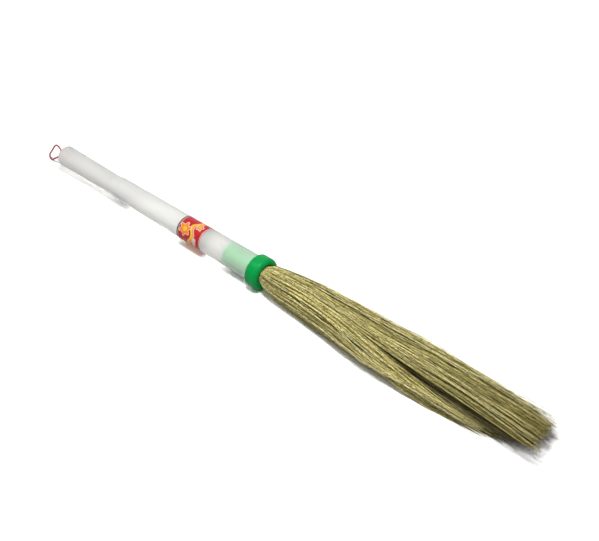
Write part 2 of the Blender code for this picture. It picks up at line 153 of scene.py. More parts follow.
# Shares of the bundle's half width and half height along its reach: place, width, height
BUNDLE_SHARES = (
    (0.035, 0.43, 0.86),
    (0.08, 0.49, 0.94),
    (0.19, 0.63, 1.00),
    (0.32, 0.75, 1.00),
    (0.43, 0.845, 1.00),
    (0.52, 0.89, 1.00),
    (0.68, 0.89, 0.97),
    (0.78, 0.86, 0.91),
    (0.88, 0.85, 0.82),
    (1.00, 0.86, 0.70),
)

# How far the outer ribs reach, by the share of a turn from +Y over the top, and the heart's
REACH_ROUND = (
    (0.000, 0.965),
    (0.050, 0.972),
    (0.160, 0.980),
    (0.250, 0.995),
    (0.320, 1.010),
    (0.380, 1.035),
    (0.400, 0.860),
    (0.550, 0.840),
    (0.660, 0.830),
    (0.710, 0.880),
    (0.760, 0.945),
    (0.920, 0.945),
    (1.000, 0.975),
)
HEART_REACH = 0.975
REACH_STRETCH = 1.035

# The locks round the heart, from +Y over the top: turns where each starts and ends at the tips,
# then its late swirl, sag, narrowing, gathering, raggedness and lift
LOCKS = (
    (0.000, 0.120, -0.09, 0.0, 0.0, 0.06, 0.05, 0.70),
    (0.120, 0.374, -0.12, 0.0, 0.0, 0.07, 0.03, 0.55),
    (0.400, 0.520, 0.0, 1.15, 0.40, 0.18, 0.24, 0.10),
    (0.520, 0.667, 0.0, 0.14, 0.26, 0.12, 0.22, 0.12),
    (0.667, 0.833, 0.0, 0.0, 0.0, 0.10, 0.06, 0.02),
    (0.833, 0.990, -0.03, 0.0, 0.0, 0.10, 0.05, 0.04),
)

# Shares of the bundle's radius where the heart ends, the locks begin, and each lock gathers
HEART_OUTER_RING = 0.42
LOCK_INNER_RING = 0.36
GATHER_RING = 0.72

# Spans of the ribs' reach, as shares, over which the bundle comes down to the floor, its tufts draw
# together, its waves grow, its locks gather, turn to their tips' places, swirl and fall, and it
# sweeps to one side and back
SETTLE_SPAN = (0.0, 0.19)
TUFT_SPAN = (0.0, 0.14)
WAVE_SPAN = (0.0, 0.45)
GATHER_SPAN = (0.10, 0.85)
TURN_SPAN = (0.2, 0.8)
SWIRL_SPAN = (0.4, 1.0)
FALL_SPAN = (0.32, 0.84)
SWEEP_SPAN = (0.0, 0.16)
SWEEP_BACK_SPAN = (0.15, 0.45)
SWEEP_BACK_SHARE = 0.78

# How square the resting bundle's lower half is: 2 is an ellipse, more is flatter
FLOOR_SQUARENESS = 3

# Seats follow each other by this share of a turn, and each kind of chance has its own seed
GOLDEN_SHARE = (math.sqrt(5) - 1) / 2
SEED_STEP = 17
HEART_SEED = 3
LOCK_SEED = 20

# Inputs of the tree that grows one bunch of ribs
RIB_INPUTS = (
    ("Ribs", "Int", 150), ("Seed", "Int", 0), ("Steps", "Int", 16),
    ("Inner Ring", "Float", 0.0), ("Outer Ring", "Float", 1.0),
    ("Butt Angle", "Float", 0.0), ("Butt Opening", "Float", math.tau),
    ("Tip Angle", "Float", 0.0), ("Tip Opening", "Float", math.tau), ("Swirl", "Float", 0.0),
    ("Sag", "Float", 0.0), ("Narrow", "Float", 0.0),
    ("Butt Place", "Float", 0.0), ("Mouth Place", "Float", 0.0), ("Full Reach", "Float", 0.4),
    ("Axis Height", "Float", 0.02), ("Thickness", "Float", 0.0004), ("Ragged", "Float", 0.04),
    ("Gather", "Float", 0.1), ("Gather Ring", "Float", 0.0), ("Tufts", "Float", 5.5),
    ("Pairs", "Float", 11.0), ("Tuft Gather", "Float", 0.45), ("Tuft Drift", "Float", 0.34),
    ("Flow", "Float", 0.26), ("Wander", "Float", 0.24), ("Lift", "Float", 0.06),
    ("Sweep", "Float", 0.0025), ("Butt Radius", "Float", 0.0115), ("Mouth Radius", "Float", 0.0115),
    ("Half Width", "Float", 0.0372), ("Half Height", "Float", 0.0205), ("Material", "Material", None),
)

# Where the camera aims, to the right of the collar's back edge and above it
AIM_RIGHT = 0.0499
AIM_UP = -0.0010

# The studio's lamps: name, place, size in metres, power in watts
LAMPS = (
    ("top", (0.28, -0.34, 1.68), 0.30, 25.0),
    ("front", (0.30, -1.05, 1.45), 0.50, 3.0),
    ("side", (-1.00, -0.50, 1.60), 0.50, 6.0),
)


def length_setting(name, description, default):
    return FloatProperty(name=name, description=description, default=default, unit="LENGTH")


def colour_setting(name, description, red, green, blue):
    return FloatVectorProperty(
        name=name, description=description, subtype="COLOR", size=4, default=(red, green, blue, 1.0)
    )


class HandleSettings(bpy.types.PropertyGroup):
    wall: length_setting("Wall", "Wall of both plastic lengths", 0.0012)
    grip_end_radius: length_setting("Grip End Radius", "Radius at the grip's closed end", 0.0130)
    grip_edge_radius: length_setting("Grip Edge", "Rounding of the grip's closed end", 0.0040)
    grip_length: length_setting("Grip Length", "Length of the grip that shows", 0.099)
    neck_radius: length_setting("Neck Radius", "Radius of the neck inside the tube", 0.0117)
    shoulder: length_setting("Shoulder", "Height of the grip's shoulder over its neck", 0.0004)
    tail_radius: length_setting("Tube Tail Radius", "Radius at the tube's narrow end", 0.0132)
    mouth_radius: length_setting("Tube Mouth Radius", "Radius at the tube's wide end", 0.0161)
    flange_radius: length_setting("Flange Radius", "Radius of the thin flange at the mouth", 0.0184)
    colour: colour_setting("Colour", "Colour of the frosted plastic", 0.81, 0.805, 0.79)


class CollarSettings(bpy.types.PropertyGroup):
    radius: length_setting("Radius", "Radius of the ring", 0.0200)
    mouth_radius: length_setting("Mouth Radius", "Radius of the mouth the ribs leave by", 0.0124)
    front_edge: length_setting("Front Edge", "Rounding of the front edge", 0.0050)
    back_edge: length_setting("Back Edge", "Rounding of the back edge", 0.0010)
    lip: length_setting("Lip", "Rounding of the mouth's lip", 0.0020)
    ring_length: length_setting("Ring Length", "Length of the ring", 0.017)
    wall: length_setting("Spigot Wall", "Wall of the spigot", 0.0012)
    colour: colour_setting("Colour", "Colour of the green plastic", 0.0, 0.30, 0.055)


class LabelSettings(bpy.types.PropertyGroup):
    ground: colour_setting("Ground", "Red ground of the print", 0.50, 0.012, 0.02)
    gold: colour_setting("Gold", "Yellow of the print", 0.85, 0.48, 0.04)
    orange: colour_setting("Orange", "Orange of the print's flowers", 0.80, 0.23, 0.02)
    pale: colour_setting("Pale", "White of the print's lines", 0.85, 0.80, 0.72)
    dark: colour_setting("Dark", "Dark band of the print", 0.035, 0.025, 0.02)
    width: length_setting("Width", "Width of the sticker along the tube", LABEL_HIGH[0] - LABEL_LOW[0])


class CordSettings(bpy.types.PropertyGroup):
    diameter: length_setting("Diameter", "Diameter of the cord", 0.0017)
    fullness: FloatProperty(
        name="Fullness", description="How far the soft lay swells, as a share of the diameter", default=1.3
    )
    turns_per_metre: FloatProperty(
        name="Twist", description="Turns of the cord's lay in a metre", default=230.0
    )
    colour: colour_setting("Colour", "Colour of the cord", 0.45, 0.004, 0.02)


class RibSettings(bpy.types.PropertyGroup):
    heart_ribs: IntProperty(name="Heart Ribs", description="Ribs in the middle of the bundle", default=120)
    lock_ribs: IntProperty(name="Lock Ribs", description="Ribs in each lock round it", default=210)
    butt_radius: length_setting("Butt Radius", "Radius of the bound butts", 0.0115)
    mouth_radius: length_setting("Mouth Radius", "Radius of the bundle in the collar's mouth", 0.0115)
    half_width: length_setting("Half Width", "Half of the bundle's greatest width", 0.0372)
    half_height: length_setting("Half Height", "Half of the bundle's height", 0.0205)
    thickness: length_setting("Rib Thickness", "Half thickness of a rib at its butt", 0.00042)
    colour: colour_setting("Colour", "Colour of the dry ribs", 0.97, 0.86, 0.30)


class StageSettings(bpy.types.PropertyGroup):
    azimuth: FloatProperty(name="Azimuth", description="Camera's turn about +Z", default=45.4)
    elevation: FloatProperty(name="Elevation", description="Camera's height angle", default=35.5)
    distance: length_setting("Distance", "Camera to target", 2.3256)
    lens: FloatProperty(name="Lens", description="Focal length in millimetres", default=120.2)


def add_object(name, data):
    item = bpy.data.objects.new(name, data)
    bpy.context.scene.collection.objects.link(item)
    return item


def add_piece(name, mesh, material, replaced):
    """Puts a finished mesh in the scene in place of a CAD node, and ties it to the frame."""
    item = add_object(name, mesh)
    if material:
        mesh.materials.clear()
        mesh.materials.append(material)
    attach(item, BODY)
    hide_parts(replaced)
    return item


def smooth_shade(mesh, angle):
    mesh.shade_smooth()
    mesh.set_sharp_from_angle(angle=math.radians(angle))


def finished_mesh(name, shape, angle):
    """Turns a bmesh into a new mesh with outward faces, smooth up to an angle in degrees."""
    bmesh.ops.recalc_face_normals(shape, faces=shape.faces)
    mesh = bpy.data.meshes.new(name)
    shape.to_mesh(mesh)
    shape.free()
    smooth_shade(mesh, angle)
    return mesh


def baked_mesh(item):
    """The plain mesh that a new object's curve or modifiers give. The object itself goes."""
    bpy.context.scene.collection.objects.link(item)
    graph = bpy.context.evaluated_depsgraph_get()
    mesh = bpy.data.meshes.new_from_object(item.evaluated_get(graph), depsgraph=graph)
    bpy.data.objects.remove(item, do_unlink=True)
    return mesh


def join_rings(shape, rings):
    """Adds the faces between rings of vertices that follow each other."""
    for ring, following in zip(rings, rings[1:]):
        for index in range(len(ring)):
            after = (index + 1) % len(ring)
            shape.faces.new((ring[index], ring[after], following[after], following[index]))


def arc(centre, radius, start, end, steps=8):
    """Points on an arc in the (radius, along) plane, angles in degrees from +radius."""
    points = []
    for step in range(steps + 1):
        angle = math.radians(start + (end - start) * step / steps)
        points.append((centre[0] + radius * math.cos(angle), centre[1] + radius * math.sin(angle)))
    return points


def round_axis(along, radius, angle):
    """A place at a radius and an angle round the handle's axis, from the top."""
    return (along, radius * math.sin(angle), AXIS_HEIGHT + radius * math.cos(angle))


def turned_mesh(name, profile, facets=144):
    """Turns a closed profile of (radius, along) points about the handle's axis, in place."""
    shape = bmesh.new()
    rings = []
    for step in range(facets):
        angle = math.tau * step / facets
        rings.append([shape.verts.new(round_axis(along, radius, angle)) for radius, along in profile])
    join_rings(shape, rings + rings[:1])
    return finished_mesh(name, shape, 40)


def tube_radius(handle, along):
    """The tapered tube's outer radius at a place along it."""
    taper = (handle.mouth_radius - handle.tail_radius) / (TUBE_HIGH[0] - TUBE_LOW[0])
    return handle.tail_radius + taper * (along - TUBE_LOW[0])


class Wiring:
    """Short calls that add and join nodes in one tree."""

    def __init__(self, tree):
        self.tree = tree

    def node(self, kind, inputs=(), **settings):
        item = self.tree.nodes.new(kind)
        for name, value in settings.items():
            setattr(item, name, value)
        self.fill(item, dict(inputs))
        return item

    def fill(self, item, inputs):
        for key, value in inputs.items():
            self.feed(item.inputs[key], value)

    def feed(self, socket, value):
        if isinstance(value, bpy.types.NodeSocket):
            self.tree.links.new(value, socket)
        else:
            socket.default_value = value

    def math(self, operation, first, second=0.0, third=0.0):
        inputs = {0: first, 1: second, 2: third}
        return self.node("ShaderNodeMath", inputs, operation=operation).outputs[0]

    def plus(self, first, second):
        return self.math("ADD", first, second)

    def minus(self, first, second):
        return self.math("SUBTRACT", first, second)

    def times(self, first, second):
        return self.math("MULTIPLY", first, second)

    def over(self, first, second):
        return self.math("DIVIDE", first, second)

    def power(self, first, second):
        return self.math("POWER", first, second)

    def below(self, first, second):
        return self.math("LESS_THAN", first, second)

    def vector(self, operation, first, second=(0, 0, 0), output=0):
        inputs = {0: first, 1: second}
        return self.node("ShaderNodeVectorMath", inputs, operation=operation).outputs[output]

    def length(self, vector):
        return self.vector("LENGTH", vector, output="Value")

    def scaled(self, vector, factor):
        inputs = {0: vector, "Scale": factor}
        return self.node("ShaderNodeVectorMath", inputs, operation="SCALE").outputs[0]

    def pushed(self, place, vector, factor):
        """A place moved by a share of a vector."""
        return self.vector("ADD", place, self.scaled(vector, factor))

    def combine(self, x=0.0, y=0.0, z=0.0):
        return self.node("ShaderNodeCombineXYZ", {0: x, 1: y, 2: z}).outputs[0]

    def separate(self, vector):
        return self.node("ShaderNodeSeparateXYZ", {0: vector}).outputs

    def either_way(self, first, second):
        """Two chances from 0 to 1 as a push to any side."""
        return self.combine(self.minus(first, 0.5), self.minus(second, 0.5))

    def ranged(self, value, low, high, to_low=0.0, to_high=1.0, kind="LINEAR"):
        inputs = {0: value, 1: low, 2: high, 3: to_low, 4: to_high}
        return self.node("ShaderNodeMapRange", inputs, interpolation_type=kind).outputs[0]

    def eased(self, value, low, high):
        return self.ranged(value, low, high, kind="SMOOTHSTEP")

    def mix(self, factor, first, second):
        """Mixes two numbers."""
        return self.node("ShaderNodeMix", {0: factor, 2: first, 3: second}).outputs[0]

    def mix_vector(self, factor, first, second):
        inputs = {0: factor, 4: first, 5: second}
        return self.node("ShaderNodeMix", inputs, data_type="VECTOR").outputs[1]

    def mix_colour(self, factor, first, second):
        inputs = {0: factor, 6: first, 7: second}
        return self.node("ShaderNodeMix", inputs, data_type="RGBA").outputs[2]

    def round_place(self, angle):
        """The place at an angle on a circle of radius 1 in the XY plane."""
        return self.combine(self.math("COSINE", angle), self.math("SINE", angle))

    def curve(self, value, points):
        """A smooth curve through the given (place, value) points, both from 0 to 1."""
        item = self.node("ShaderNodeFloatCurve", {"Value": value})
        line = item.mapping.curves[0]
        for place, _ in points[2:]:
            line.points.new(place, 0.0)
        for point, (place, height) in zip(line.points, points):
            point.location = (place, height)
        item.mapping.update()
        return item.outputs[0]

    def noise(self, vector, scale, detail, output=0):
        inputs = {"Vector": vector, "Scale": scale, "Detail": detail}
        return self.node("ShaderNodeTexNoise", inputs).outputs[output]


def open_group(tree, inputs, outputs):
    """Gives a node group its named ends, and returns its wiring and both ends."""
    for label, kind, default in inputs:
        socket = tree.interface.new_socket(label, in_out="INPUT", socket_type="NodeSocket" + kind)
        if default is not None:
            socket.default_value = default
    for label, kind in outputs:
        tree.interface.new_socket(label, in_out="OUTPUT", socket_type="NodeSocket" + kind)
    wires = Wiring(tree)
    return wires, wires.node("NodeGroupInput").outputs, wires.node("NodeGroupOutput").inputs


def wear_group():
    """Fine scuffs and handling marks: a mask and a bump height."""
    if "Scuffs" in bpy.data.node_groups:
        return bpy.data.node_groups["Scuffs"]
    tree = bpy.data.node_groups.new("Scuffs", "ShaderNodeTree")
    wires, given, result = open_group(
        tree,
        [("Vector", "Vector", (0, 0, 0)), ("Scale", "Float", 300.0), ("Amount", "Float", 0.5)],
        [("Mask", "Float"), ("Height", "Float")],
    )
    stretched = wires.vector("MULTIPLY", given["Vector"], (0.18, 1.0, 1.0))
    scratches = wires.noise(stretched, given["Scale"], 4.0)
    clouds = wires.noise(given["Vector"], wires.times(given["Scale"], 0.12), 3.0)
    marks = wires.times(wires.ranged(scratches, 0.55, 0.72), wires.ranged(clouds, 0.42, 0.68))
    wires.feed(result["Mask"], wires.times(marks, given["Amount"]))
    wires.feed(result["Height"], wires.times(scratches, given["Amount"]))
    return tree


def fibre_group():
    """Long fine streaks that run along a strand: a tone and a bump height."""
    if "Fibre" in bpy.data.node_groups:
        return bpy.data.node_groups["Fibre"]
    tree = bpy.data.node_groups.new("Fibre", "ShaderNodeTree")
    wires, given, result = open_group(
        tree,
        [
            ("Vector", "Vector", (0, 0, 0)), ("Scale", "Float", 900.0), ("Stretch", "Float", 0.03),
            ("Blotches", "Float", 0.35),
        ],
        [("Tone", "Float"), ("Height", "Float")],
    )
    squeezed = wires.vector("MULTIPLY", given["Vector"], wires.combine(given["Stretch"], 1.0, 1.0))
    streaks = wires.noise(squeezed, given["Scale"], 3.0)
    blotch = wires.noise(given["Vector"], wires.times(given["Scale"], 0.08), 2.0)
    wires.feed(result["Tone"], wires.mix(given["Blotches"], streaks, blotch))
    wires.feed(result["Height"], streaks)
    return tree


def new_material(name):
    material = bpy.data.materials.new(name)
    material.use_nodes = True
    wires = Wiring(material.node_tree)
    shader = material.node_tree.nodes["Principled BSDF"]
    return material, wires, shader


def object_place(wires):
    return wires.node("ShaderNodeTexCoord").outputs["Object"]


def scuffed(wires, place, scale, amount=0.5):
    """The mask and the height of scuffs at a place."""
    inputs = {"Vector": place, "Scale": scale, "Amount": amount}
    return wires.node("ShaderNodeGroup", inputs, node_tree=wear_group()).outputs


def fibrous(wires, scale, stretch, blotches=0.35):
    """The tone and the height of streaks along an object."""
    inputs = {"Vector": object_place(wires), "Scale": scale, "Stretch": stretch, "Blotches": blotches}
    return wires.node("ShaderNodeGroup", inputs, node_tree=fibre_group()).outputs


def bumped(wires, height, strength, distance):
    inputs = {"Height": height, "Strength": strength, "Distance": distance}
    return wires.node("ShaderNodeBump", inputs).outputs[0]


def surface(material, wires, closure):
    wires.feed(material.node_tree.nodes["Material Output"].inputs["Surface"], closure.outputs[0])


def pass_light(material, wires, shader, share):
    """Lets a share of the light on through a thin wall, so it shades less of what it covers."""
    path = wires.node("ShaderNodeLightPath").outputs
    clear = wires.node("ShaderNodeBsdfTransparent", {"Color": (0.95, 0.95, 0.94, 1.0)})
    passing = wires.times(path["Is Shadow Ray"], share)
    inputs = {0: passing, 1: shader.outputs[0], 2: clear.outputs[0]}
    surface(material, wires, wires.node("ShaderNodeMixShader", inputs))


def frosted_plastic(name, colour, seed_shift, passing):
    """Milky, slightly see-through plastic with faint flow clouds and fine handling scuffs."""
    material, wires, shader = new_material(name)
    place = wires.vector("ADD", object_place(wires), (seed_shift, 0, 0))
    scuffs = scuffed(wires, place, 420.0, 0.7)
    clouds = wires.noise(wires.vector("MULTIPLY", place, (0.35, 1, 1)), 60.0, 3.0)
    milk = wires.mix_colour(wires.ranged(clouds, 0.35, 0.7), colour, (0.85, 0.85, 0.835, 1.0))
    dusty = wires.mix_colour(wires.times(scuffs["Mask"], 0.25), milk, (0.66, 0.65, 0.62, 1.0))
    wires.fill(shader, {
        "Base Color": dusty,
        "Roughness": wires.ranged(scuffs["Height"], 0.0, 0.7, 0.68, 0.8),
        "Transmission Weight": 0.75,
        "Alpha": 0.9,
        "IOR": 1.35,
        "Subsurface Weight": 0.4,
        "Subsurface Radius": (0.02, 0.02, 0.02),
        "Subsurface Scale": 1.0,
        "Normal": bumped(wires, scuffs["Height"], 0.12, 0.0002),
    })
    pass_light(material, wires, shader, passing)
    return material


def green_plastic(colour):
    """Glossy moulded green plastic with faint ripples."""
    material, wires, shader = new_material("collar_green")
    place = object_place(wires)
    mask = scuffed(wires, place, 500.0)["Mask"]
    ripples = wires.noise(place, 90.0, 2.0)
    tint = wires.mix_colour(wires.ranged(ripples, 0.3, 0.7), colour, (0.0, 0.35, 0.075, 1.0))
    wires.fill(shader, {
        "Base Color": wires.mix_colour(wires.times(mask, 0.3), tint, (0.10, 0.50, 0.20, 1.0)),
        "Roughness": wires.ranged(mask, 0.0, 0.5, 0.32, 0.5),
        "Specular IOR Level": 0.10,
        "Normal": bumped(wires, ripples, 0.08, 0.0006),
    })
    return material


def steel_wire():
    material, wires, shader = new_material("binding_steel")
    scuffs = scuffed(wires, object_place(wires), 900.0)
    wires.fill(shader, {
        "Base Color": wires.mix_colour(scuffs["Mask"], (0.5, 0.5, 0.5, 1.0), (0.3, 0.24, 0.18, 1.0)),
        "Roughness": wires.ranged(scuffs["Height"], 0.0, 0.6, 0.25, 0.5),
        "Metallic": 1.0,
    })
    return material


def cord_fibre(colour):
    """Twisted red thread: fine fibres along the lay, some of them darker."""
    material, wires, shader = new_material("cord_red")
    fibre = fibrous(wires, 2600.0, 0.4)
    dark = (colour[0] * 0.5, colour[1] * 0.5, colour[2] * 0.5, 1.0)
    wires.fill(shader, {
        "Base Color": wires.mix_colour(wires.ranged(fibre["Tone"], 0.3, 0.65), dark, colour),
        "Roughness": 0.62,
        "Sheen Weight": 0.25,
        "Normal": bumped(wires, fibre["Height"], 0.4, 0.0002),
    })
    return material


def leaf_rib(colour):
    """Dry leaf rib: olive-beige, each rib its own tone and aged at its tip, with painted shade on the ribs
    deep in the bundle and where they leave the collar's mouth.
    """
    material, wires, shader = new_material("leaf_rib")
    tone, place, depth = (
        wires.node("ShaderNodeAttribute", attribute_name=name).outputs["Fac"]
        for name in ("rib_tone", "rib_place", "rib_shade_depth")
    )
    fibre = fibrous(wires, 1300.0, 0.05)
    grain = fibrous(wires, 1000.0, 0.3, 0.0)
    aged = wires.times(wires.ranged(place, 0.65, 1.0, 0.0, 0.6), wires.ranged(tone, 0.3, 0.7, 1.8, 0.1))
    # Painted shade: ribs deep in the bundle are darker, and the shade grows a little from mid-reach toward
    # the tips
    depth = wires.plus(depth, wires.ranged(place, 0.5, 0.75, 0.0, 0.09))
    paint = wires.mix_colour(wires.ranged(tone, 0.45, 0.85), colour, (1.0, 0.93, 0.50, 1.0))
    paint = wires.mix_colour(wires.ranged(tone, 0.12, 0.50), (0.11, 0.09, 0.025, 1.0), paint)
    for amount, toward in (
        (aged, (0.34, 0.27, 0.04, 1.0)),
        (wires.ranged(fibre["Tone"], 0.35, 0.75, 0.0, 0.35), (0.22, 0.18, 0.06, 1.0)),
        (wires.ranged(grain["Tone"], 0.36, 0.56, 0.85, 0.0), (0.15, 0.12, 0.03, 1.0)),
        # Painted shade on the ribs deep in the bundle
        (wires.ranged(depth, 0.22, 0.62, 0.0, 0.9), (0.09, 0.07, 0.018, 1.0)),
        # Painted shade where the ribs leave the collar's mouth
        (wires.ranged(place, 0.0, 0.03, 0.7, 0.0), (0.05, 0.045, 0.01, 1.0)),
    ):
        paint = wires.mix_colour(amount, paint, toward)
    wires.fill(shader, {
        "Base Color": paint,
        "Roughness": wires.ranged(fibre["Tone"], 0.3, 0.7, 0.42, 0.65),
        "Specular IOR Level": 0.3,
        "Normal": bumped(wires, fibre["Height"], 0.3, 0.0002),
    })
    return material


def label_print(settings):
    """The sticker's print: a generic pattern of flowers and ribbons, laid out by UV in millimetres."""
    material, wires, shader = new_material("label_print")
    around, along, _ = wires.separate(wires.node("ShaderNodeUVMap", uv_map="print").outputs[0])
    ground, gold, orange = tuple(settings.ground), tuple(settings.gold), tuple(settings.orange)
    pale, dark = tuple(settings.pale), tuple(settings.dark)

    def line(value, centre, half):
        return wires.below(wires.math("ABSOLUTE", wires.minus(value, centre)), half)

    def flower(period, start, height, size, petals):
        """Masks of a row of flowers, their hearts and their rims."""
        across = wires.plus(around, period - start)
        across = wires.minus(wires.math("MODULO", across, period), period / 2)
        up = wires.minus(along, height)
        reach = wires.length(wires.combine(across, up))
        turn = wires.times(wires.math("ARCTAN2", up, across), petals)
        edge = wires.math("MULTIPLY_ADD", wires.math("COSINE", turn), size * 0.2, size * 0.8)
        past = wires.minus(reach, edge)
        return wires.below(past, 0.0), wires.below(reach, size * 0.36), line(past, 0.4, 0.4)

    # Red ground, a gold ribbon that waves round the tube, and two threads beside it
    wave = wires.math("SINE", wires.times(around, math.tau / 23.4))
    ribbon = wires.minus(along, wires.math("MULTIPLY_ADD", wave, 3.0, 23.5))
    paint = ground
    for centre, half, ink in ((0.0, 2.6, gold), (2.0, 0.6, orange), (3.5, 0.4, pale)):
        paint = wires.mix_colour(line(ribbon, centre, half), paint, ink)

    # A row of large flowers, a row of small ones, and a pale field with thin stripes
    for period, start, height, size, petals in ((31.2, 18.4, 12.0, 9.2, 6), (31.2, 29.4, 30.0, 4.8, 5)):
        leaves, heart, rim = flower(period, start, height, size, petals)
        paint = wires.mix_colour(rim, paint, pale)
        paint = wires.mix_colour(leaves, paint, orange)
        paint = wires.mix_colour(heart, paint, gold)
    field = wires.times(line(wires.math("MODULO", around, 46.8), 24.0, 4.5), line(along, 30.5, 3.4))
    thin = wires.below(wires.math("FRACT", wires.times(along, 0.8)), 0.68)
    paint = wires.mix_colour(field, paint, wires.mix_colour(thin, ground, pale))

    # Bands along both edges
    far_edge = settings.width * MILLIMETRES - 0.9
    for centre, half, ink in ((0.6, 1.4, dark), (2.4, 0.3, pale), (far_edge, 0.3, pale)):
        paint = wires.mix_colour(line(along, centre, half), paint, ink)
    mask = scuffed(wires, object_place(wires), 300.0)["Mask"]
    wires.fill(shader, {
        "Base Color": paint,
        "Roughness": wires.ranged(mask, 0.0, 0.5, 0.3, 0.5),
        "Specular IOR Level": 0.2,
        "Coat Weight": 0.05,
        "Coat Roughness": 0.2,
    })
    pass_light(material, wires, shader, 0.6)
    return material


def sticker_back():
    """The sticker's plain white inner face, which shows through the tube."""
    material, wires, shader = new_material("sticker_back")
    clouds = wires.ranged(wires.noise(object_place(wires), 500.0, 3.0), 0.35, 0.65)
    tint = wires.mix_colour(clouds, (0.84, 0.82, 0.79, 1.0), (0.76, 0.73, 0.70, 1.0))
    wires.fill(shader, {"Base Color": tint, "Roughness": 0.7})
    pass_light(material, wires, shader, 0.6)
    return material


class BROOM_OT_stage(bpy.types.Operator):
    """Adds the camera, the pale floor and the soft studio light."""

    bl_idname = "broom.stage"
    bl_label = "Stage"

    def execute(self, context):
        scene = context.scene
        scene.view_settings.view_transform = "Standard"
        self.add_camera(scene, scene.broom_stage)
        self.add_floor()
        self.add_light(scene)
        return {"FINISHED"}

    def add_camera(self, scene, settings):
        turn = math.radians(settings.azimuth)
        rise = math.radians(settings.elevation)
        back = Vector((math.sin(turn) * math.cos(rise), -math.cos(turn) * math.cos(rise), math.sin(rise)))
        right = Vector((math.cos(turn), math.sin(turn), 0))
        up = back.cross(right)
        anchor = Vector((COLLAR_HIGH[0] - scene.broom_collar.ring_length, 0, AXIS_HEIGHT))
        target = anchor + right * AIM_RIGHT + up * AIM_UP
        camera = add_object("camera", bpy.data.cameras.new("camera"))
        camera.data.lens = settings.lens
        camera.data.sensor_width = 36.0
        camera.data.clip_start = 0.05
        camera.location = target + back * settings.distance
        camera.rotation_euler = back.to_track_quat("Z", "Y").to_euler()
        scene.camera = camera

    def add_floor(self):
        mesh = bpy.data.meshes.new("floor")
        shape = bmesh.new()
        bmesh.ops.create_grid(shape, x_segments=1, y_segments=1, size=6.0)
        shape.to_mesh(mesh)
        shape.free()
        material, wires, shader = new_material("floor_white")
        path = wires.node("ShaderNodeLightPath").outputs
        seen = wires.math("MAXIMUM", path["Is Camera Ray"], path["Is Transmission Ray"])
        pale = wires.mix_colour(path["Is Camera Ray"], (0, 0, 0, 1), (0.30, 0.30, 0.30, 1))
        lift = wires.node("ShaderNodeBsdfDiffuse", {"Color": pale})

        # Away from the broom the floor is plain white, like the air behind it
        away = wires.eased(wires.length(object_place(wires)), 0.5, 1.2)
        wires.fill(shader, {
            "Base Color": wires.mix_colour(seen, (0.6, 0.6, 0.6, 1.0), (0.96, 0.96, 0.96, 1.0)),
            "Roughness": 0.9,
            "Specular IOR Level": 0.1,
            "Emission Strength": wires.times(away, seen),
            "Emission Color": (1, 1, 1, 1),
        })
        both = wires.node("ShaderNodeAddShader", {0: shader.outputs[0], 1: lift.outputs[0]})
        surface(material, wires, both)
        mesh.materials.append(material)
        add_object("floor", mesh)

    def add_light(self, scene):
        world = bpy.data.worlds.new("studio")
        world.use_nodes = True
        scene.world = world
        wires = Wiring(world.node_tree)
        path = wires.node("ShaderNodeLightPath").outputs
        seen = wires.math("MAXIMUM", path["Is Camera Ray"], path["Is Glossy Ray"])
        seen = wires.math("MAXIMUM", seen, path["Is Transmission Ray"])
        background = world.node_tree.nodes["Background"]
        wires.fill(background, {"Strength": wires.mix(seen, 0.15, 1.0), "Color": (1, 1, 1, 1)})
        for name, place, size, power in LAMPS:
            item = add_object(name, bpy.data.lights.new(name, "AREA"))
            item.data.size = size
            item.data.energy = power
            item.location = place
            item.rotation_euler = Vector(place).to_track_quat("Z", "Y").to_euler()


